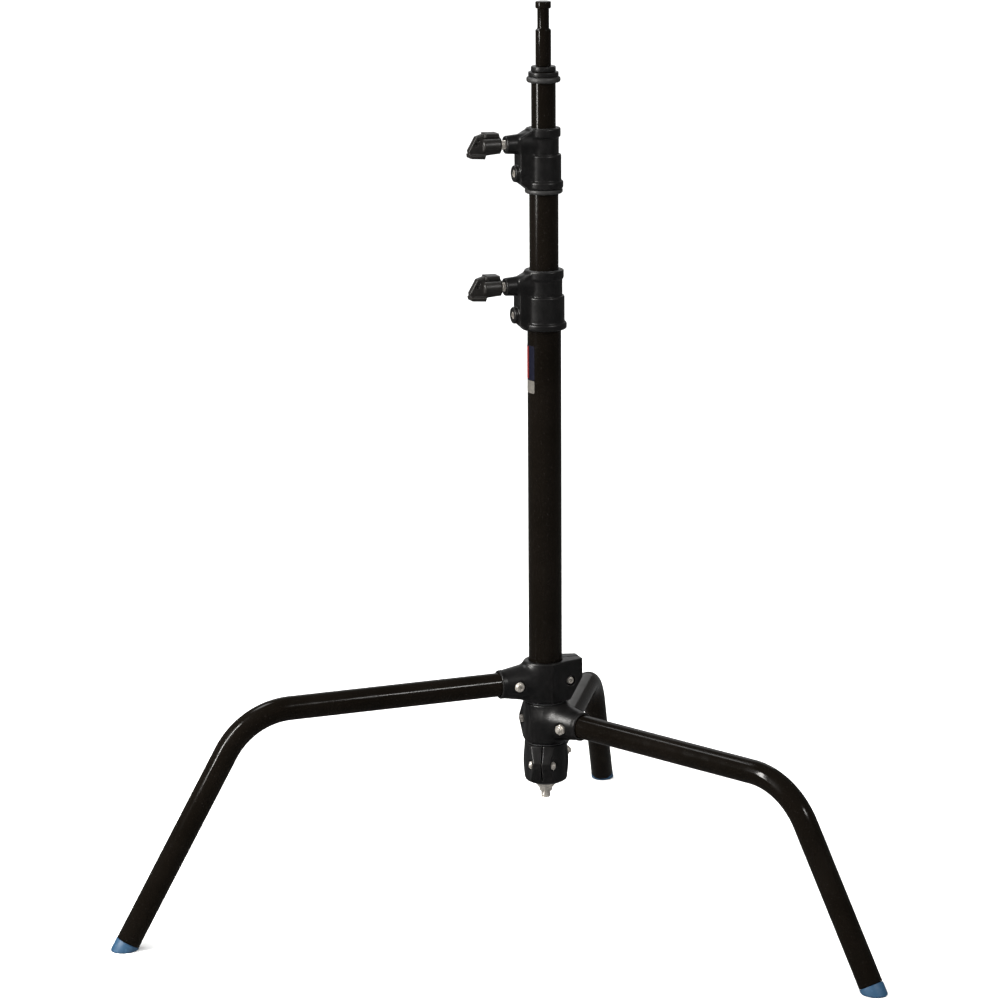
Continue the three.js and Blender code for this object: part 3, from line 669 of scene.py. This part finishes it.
def build_foot(name, leg):
    """Plug in the open end of the tube, cut flat where it stands on the floor."""
    (x1, z1), a1 = leg_path(leg)[-1]
    along_dir = np.array([math.cos(a1), 0, -math.sin(a1)])
    up_dir = np.array([math.sin(a1), 0, math.cos(a1)])
    end = np.array([x1, 0, z1])
    segments = 80
    radius, plug, edge = 12.7, 10.2, 2.2

    def point(r, a, t):
        return end + along_dir * t + r * (math.cos(a) * np.array([0, 1, 0]) + math.sin(a) * up_dir)

    rings = [[tuple(point(0, 0, -24))]]
    for r, t in ((plug - 1.2, -24), (plug - 0.35, -23.6), (plug, -22.8), (plug, 0.3), (radius - 0.5, 0.3),
                 (radius - 0.15, 0.42), (radius, 0.75)):
        rings.append([tuple(point(r, 2 * math.pi * i / segments, t)) for i in range(segments)])

    def floor_ring(share):
        """Ring part way round the rounded edge; share 0 is on the wall and 1 is on the floor."""
        turn = share * math.pi / 2
        ring = []
        for i in range(segments):
            a = 2 * math.pi * i / segments
            lean = edge * (0.55 + 0.45 * (0.5 + 0.5 * math.sin(a)))
            lift = lean * (1 - math.sin(turn))
            pull = lean * (1 - math.cos(turn))
            p = point(radius - pull, a, 0)
            t = (p[2] - lift) / math.sin(a1)
            q = p + along_dir * max(t, 0.9)
            ring.append((q[0], q[1], max(q[2], 0.0)))
        return ring

    rings += [floor_ring(s / 6) for s in range(7)]
    last = np.array(rings[-1])
    middle = last.mean(0)
    for share in (0.6, 0.25):
        rings.append([tuple(middle + (p - middle) * share) for p in last])
    rings.append([tuple(middle)])
    verts, faces = loft(rings, False)
    make_piece(f"{name}_foot_plug", (verts, faces), leg["body"], "blue_foot", [f"{name}_leg_foot"],
               leg["azimuth"], sharp=40)


# ------------------------------------------------------------------ fasteners
def hexagonal(across):
    half = across / 2
    return lambda a: half / math.cos((a + math.pi / 6) % (math.pi / 3) - math.pi / 6)


def clipped(across, limit):
    shape = hexagonal(across)
    return lambda a: min(shape(a), limit)


def screw(radius, end, face, head, high, recess):
    """Button-headed screw about z, head up, with a hexagon recess and a chamfered thread end."""
    top = face + high
    profile = [(0, end), (radius - 0.7, end), (radius - 0.15, end + 0.5), (radius, end + 0.9)]
    z = end + 0.9
    while z < end + 7:
        profile += [(radius, z), (radius - 0.28, z + 0.35), (radius, z + 0.7)]
        z += 0.9
    profile += [(radius, face), (head - 0.25, face), (head, face + 0.25)]
    full = math.pi / 2 * 0.82
    for s in range(9):
        a = s / 8 * math.pi / 2 * 0.82
        rise = (high - 0.3) * math.sin(a) / math.sin(full)
        profile.append((head - 0.42 * head * (1 - math.cos(a)), face + 0.3 + rise))
    profile += [(lambda a: hexagonal(recess)(a) + 0.25, top), (hexagonal(recess), top - 0.25),
                (hexagonal(recess), top - 0.62 * high), (hexagonal(recess * 0.5), top - 0.7 * high),
                (0, top - 0.78 * high)]
    return lathe(profile, 48)


def lock_nut(across, bore, seat, high):
    """Hexagon nut with a rounded collar about z, its seat at the top."""
    end = seat - high
    corner = across / math.sqrt(3)
    collar = 0.44 * across
    profile = [(bore, end + 0.25 * high), (bore, end + 0.08), (bore + 0.5, end), (collar - 0.7, end),
               (collar - 0.2, end + 0.2), (collar, end + 0.7), (collar, end + 0.30 * high)]
    for share in (0.0, 0.25, 0.5, 0.75, 1.0):
        limit = across / 2 - 0.25 + (corner + 0.3 - across / 2) * share
        profile.append((clipped(across, limit), end + 0.30 * high + (corner - across / 2) * 0.5 * share))
    for share in (1.0, 0.6, 0.2):
        limit = across / 2 - 0.1 + (corner + 0.2 - across / 2) * share
        profile.append((clipped(across, limit), seat - 0.45 * share))
    profile += [(bore + 0.4, seat), (bore, seat - 0.4)]
    return lathe(profile, 72, closed=True)


def build_fasteners(name, leg):
    """Cross bolt through the leg's socket and pinch screw through its ear, each with a lock nut."""
    pieces = [
        ("socket_bolt", screw(2.9, -21.6, 16.9, 5.2, 3.8, 4.0), BOLT["x"], "leg_bolt"),
        ("socket_lock_nut", lock_nut(10, BOLT["hole"], -14.3, 5.4), BOLT["x"], "leg_nut"),
        ("ear_screw", screw(2.4, -14.2, 10.3, 4.2, 3.6, 3.2), PINCH["x"], "pinch_screw"),
        ("ear_lock_nut", lock_nut(8, PINCH["hole"], -9.9, 3.6), PINCH["x"], "pinch_nut"),
    ]
    for piece, data, x, node in pieces:
        make_piece(f"{name}_{piece}", along(data, "y", (x, 0, leg["cross"])), leg["body"], "zinc_plate",
                   [f"{name}_{node}"], leg["azimuth"], sharp=38)


def threaded(radius, low, high, pitch, depth, segments=48, step=0.25, chamfer=0.8):
    """Threaded rod about z between two heights, as a fine grid of rings."""
    rings = [[(0.0, 0.0, low)]]
    count = int((high - low) / step)
    for n in range(count + 1):
        z = low + (high - low) * n / count
        fade = min(1.0, (z - low) / chamfer, (high - z) / chamfer)

        def wave(a, z=z, fade=fade):
            phase = (z / pitch - a / (2 * math.pi)) % 1.0
            groove = depth * (1 - abs(2 * phase - 1)) ** 0.8
            return radius - groove * min(1, fade * 1.5) - (1 - fade) * 0.7

        rings.append(circle(wave, z, segments))
    rings.append([(0.0, 0.0, high)])
    return loft(rings, False)


def build_clamp_parts(name, clamp):
    height = clamp["top"] - KNOB_DROP
    start = clamp["inner"] + 5.8
    rod = threaded(4.9, start, 62.0, 1.5, 0.55, step=0.3)
    make_piece(f"{name}_knob_stud", along(rod, "x", (0, 0, height)), clamp["knob_body"], "zinc_plate",
               [f"{name}_knob_screw"], KNOB_AZIMUTH, sharp=60)
    begin, end = clamp["held"] + 0.5, clamp["set_boss"] - 0.6
    grub = lathe([(0, begin), (3.0, begin), (4.0, begin + 1), (4.0, end - 0.6), (3.8, end - 0.2), (3.4, end),
                  (lambda a: hexagonal(4.0)(a) + 0.2, end), (hexagonal(4.0), end - 0.25),
                  (hexagonal(4.0), end - 2.8), (0, end - 3.2)], 48)
    make_piece(f"{name}_grub_screw", along(grub, "x", (0, 0, clamp["top"] - SET_SCREW_DROP)), clamp["body"],
               "zinc_plate", [f"{name}_set_screw"], KNOB_AZIMUTH, sharp=38)
    outer, bottom, top = clamp["bush"] - 0.3, clamp["rim"][1] + 0.3, clamp["top"] + 0.4
    ring = rounded([(clamp["bush_inner"], bottom), (outer, bottom), (outer, top), (clamp["bush_inner"], top)],
                   [0.2, 0.2, 0.6, 0.35])
    make_piece(f"{name}_guide_ring", lathe(ring, 96, True), clamp["body"], "black_nylon",
               [f"{name}_clamp_bush"])


# ------------------------------------------------------------------ column and risers
def build_ring(name, section, rounding, body, slot, node, segments=112):
    data = lathe(rounded(section, rounding), segments, True)
    make_piece(name, data, body, slot, [node], sharp=38)


def pipe(name, outer, inner, bottom, top, body, node):
    section = [(inner, bottom), (outer, bottom), (outer, top), (inner, top)]
    build_ring(name, section, 0.45, body, "gloss_black_tube", node, 128)


def build_column():
    base, middle, upper = "stand_base", "middle_riser", "top_riser"
    pipe("column_pipe", COLUMN_RADIUS, 15.5, 133.6, 646.5, base, "column_tube")
    pipe("middle_riser_pipe", 15.0, 13.0, 180.3, 792.5, middle, "middle_riser_tube")
    pipe("top_riser_pipe", 12.5, 10.5, 215.3, 880.2, upper, "top_riser_tube")
    build_ring("clamp_buffer_ring", [(15.25, 756), (19.5, 756), (19.5, 760.7), (15.25, 760.7)],
               [0.3, 1.9, 1.4, 0.3], middle, "black_rubber", "middle_riser_bumper")
    build_ring("cap_buffer_ring", [(12.75, 869.4), (17.4, 869.4), (17.4, 875.2), (12.75, 875.2)],
               [0.3, 2.6, 2.6, 0.3], upper, "black_rubber", "top_riser_bumper")
    build_ring("cap_collar", [(12.75, 875.5), (15.5, 875.5), (15.5, 880), (12.75, 880)],
               [0.2, 0.7, 0.7, 0.2], upper, "satin_black_casting", "top_riser_stop_ring")
    cap = [(5.3, 848), (10.2, 848), (10.2, 880.5), (12.7, 880.5), (12.7, 885.7), (5.3, 885.7)]
    build_ring("riser_end_cap", cap, [0.3, 0.8, 0.2, 0.8, 1.0, 0.3], upper, "satin_black_casting",
               "top_riser_cap")
    spigot = [(0, 850), (5, 850), (5, 886), (7.95, 886), (7.95, 922.3), (6, 923.8), (6, 943.6), (7.95, 944.8),
              (7.95, 951.2), (0, 951.2)]
    corners = [0, 0.5, 0.2, 0.6, 0.8, 0.9, 0.6, 0.6, 1.1, 0]
    make_piece("grooved_spigot", lathe(rounded(spigot, corners, closed=False), 96), upper,
               "gloss_black_tube", ["spigot"], sharp=38)
    for number, height in enumerate((171.6, 216.1), 1):
        section = [(17.8, height), (21.6, height), (21.6, height + 0.8), (17.8, height + 0.8)]
        build_ring(f"leg_friction_washer_{number}", section, 0.2, base, "black_nylon", f"hub_washer_{number}")
    nut = rounded([(5.3, 116.6), (6.6, 116.6), (7.0, 120.0), (10.3, 123.9), (10.5, 126.7), (5.3, 126.7)],
                  [0.4, 0.6, 1.0, 1.2, 0.4, 0.3])
    make_piece("conical_base_nut", lathe(nut, 96, True), base, "zinc_plate", ["base_cone_nut"], sharp=38)
    stud = threaded(5.0, STUD_END, 158.0, 1.5, 0.4, step=0.3, chamfer=0.9)
    make_piece("threaded_base_stud", stud, base, "zinc_plate", ["base_stud"], sharp=60)


def build_label(name, z_range, az_range, look, lift=0.0):
    """Thin curved sticker on the column, a closed shell with rounded corners."""
    steps_a, steps_z = 40, 12
    corner = 1.2
    (z0, z1), (a0, a1) = z_range, [math.radians(a) for a in az_range]
    low, high = 17.52 + lift, 17.62 + lift
    outer, inner = [], []
    for i in range(steps_a + 1):
        a = a0 + (a1 - a0) * i / steps_a
        edge = min(i, steps_a - i) / steps_a * (a1 - a0) * 17.6
        inset = corner - math.sqrt(max(0, corner ** 2 - max(0, corner - edge) ** 2)) if edge < corner else 0
        column_out, column_in = [], []
        for j in range(steps_z + 1):
            z = z0 + inset + (z1 - z0 - 2 * inset) * j / steps_z
            column_out.append((high * math.cos(a), high * math.sin(a), z))
            column_in.append((low * math.cos(a), low * math.sin(a), z))
        outer.append(column_out)
        inner.append(column_in)
    rings = [o + i[::-1] for o, i in zip(outer, inner)]
    verts, faces = loft(rings, False)
    size = len(rings[0])
    faces = [f[::-1] for f in faces]
    for ring, flip in ((0, False), (len(rings) - 1, True)):
        for j in range(steps_z):
            start = ring * size
            quad = [start + j, start + j + 1, start + size - 2 - j, start + size - 1 - j]
            faces.append(tuple(quad[::-1] if flip else quad))
    make_piece(name, (verts, faces), "stand_base", look=look, sharp=60)


def finish_hidden_nodes():
    """Inner pieces keep their CAD shape and take the finish of their slot."""
    slots = {part["node"]: part["material_slot"] for part in frame["record"]["subparts"]}
    for node, piece in frame["nodes"].items():
        piece.data.materials.clear()
        piece.data.materials.append(LOOK[slots[node]])


# ------------------------------------------------------------------ stage, lights and camera
def build_stage():
    size = 40.0
    mesh = bpy.data.meshes.new("studio_floor")
    z = -STUD_END / 1000
    corners = [(-size, -size, z), (size, -size, z), (size, size, z), (-size, size, z)]
    mesh.from_pydata(corners, [], [(0, 1, 2, 3)])
    floor = bpy.data.objects.new("studio_floor", mesh)
    bpy.context.scene.collection.objects.link(floor)
    mesh.materials.append(pale_floor())
    floor.visible_glossy = False


def area_light(name, at, target, size, power, color=(1, 1, 1)):
    data = bpy.data.lights.new(name, "AREA")
    data.shape = "RECTANGLE"
    data.size, data.size_y = size
    data.energy = power
    data.color = color
    lamp = bpy.data.objects.new(name, data)
    bpy.context.scene.collection.objects.link(lamp)
    lamp.location = at
    lamp.rotation_euler = (Vector(target) - Vector(at)).to_track_quat("-Z", "Y").to_euler()


def build_lights():
    sun = bpy.data.lights.new("ceiling_light", "SUN")
    sun.energy = 4.2
    sun.angle = math.radians(95)
    lamp = bpy.data.objects.new("ceiling_light", sun)
    bpy.context.scene.collection.objects.link(lamp)
    lamp.rotation_euler = Vector((-0.25, -0.3, 1.0)).to_track_quat("Z", "Y").to_euler()
    lamp.visible_glossy = False
    area_light("white_wall", (0, 4.2, 1.9), (0, 0, 0.6), (3.0, 2.4), 16)
    area_light("left_strip", (-1.42, -0.78, 1.15), (0, 0, 0.6), (0.13, 1.1), 75, (1, 0.98, 0.95))
    area_light("front_key", (1.6, -1.6, 1.85), (0, 0, 0.15), (0.5, 0.22), 32, (1, 0.99, 0.97))
    area_light("top_light", (-0.9, 0.7, 1.9), (0, 0, 0.2), (0.5, 0.5), 10)
    world = bpy.data.worlds.new("studio_air")
    bpy.context.scene.world = world
    world.use_nodes = True
    world.node_tree.nodes["Background"].inputs["Color"].default_value = (1, 1, 1, 1)
    world.node_tree.nodes["Background"].inputs["Strength"].default_value = 0.16


def build_camera():
    pitch, roll, yaw = (math.radians(CAMERA[key]) for key in ("pitch", "roll", "yaw"))
    forward = Vector((math.sin(yaw) * math.cos(pitch), math.cos(yaw) * math.cos(pitch), -math.sin(pitch)))
    right = forward.cross(Vector((0, 0, 1))).normalized()
    up = right.cross(forward)
    turned_right = math.cos(roll) * right + math.sin(roll) * up
    turned_up = -math.sin(roll) * right + math.cos(roll) * up
    data = bpy.data.cameras.new("long_lens_camera")
    data.sensor_width = 36.0
    data.lens = CAMERA["lens"]
    data.clip_end = 200
    camera = bpy.data.objects.new("long_lens_camera", data)
    bpy.context.scene.collection.objects.link(camera)
    basis = Matrix((turned_right, turned_up, -forward)).transposed()
    place = Vector((0, -CAMERA["distance"], CAMERA["height"] - STUD_END)) / 1000
    camera.matrix_world = Matrix.Translation(place) @ basis.to_4x4()
    bpy.context.scene.camera = camera


build_camera()
build_stage()
build_lights()
finish_hidden_nodes()
build_column()
for leg_name, leg_size in LEGS.items():
    build_hub(leg_name, leg_size)
    build_leg_tube(leg_name, leg_size)
    build_foot(leg_name, leg_size)
    build_fasteners(leg_name, leg_size)
for clamp_name, clamp_size in CLAMPS.items():
    build_clamp_body(clamp_name, clamp_size)
    build_knob(clamp_name, clamp_size)
    build_clamp_parts(clamp_name, clamp_size)
NAVY = label_print("navy_label_print", (0.0024, 0.0026, 0.0060), (0.0038, 0.0042, 0.0100))
build_label("navy_label", (562.5, 598.6), (160, 234), NAVY)
PALE = label_print("pale_label_print", (0.050, 0.047, 0.042), (0.085, 0.080, 0.071))
build_label("pale_label", (548.8, 562.0), (160, 234), PALE)
RED = label_print("red_label_print", (0.085, 0.006, 0.005), (0.125, 0.010, 0.007))
build_label("red_stripe_label", (563.5, 597.6), (166, 204), RED, 0.12)

bpy.context.scene.view_settings.view_transform = "Standard"
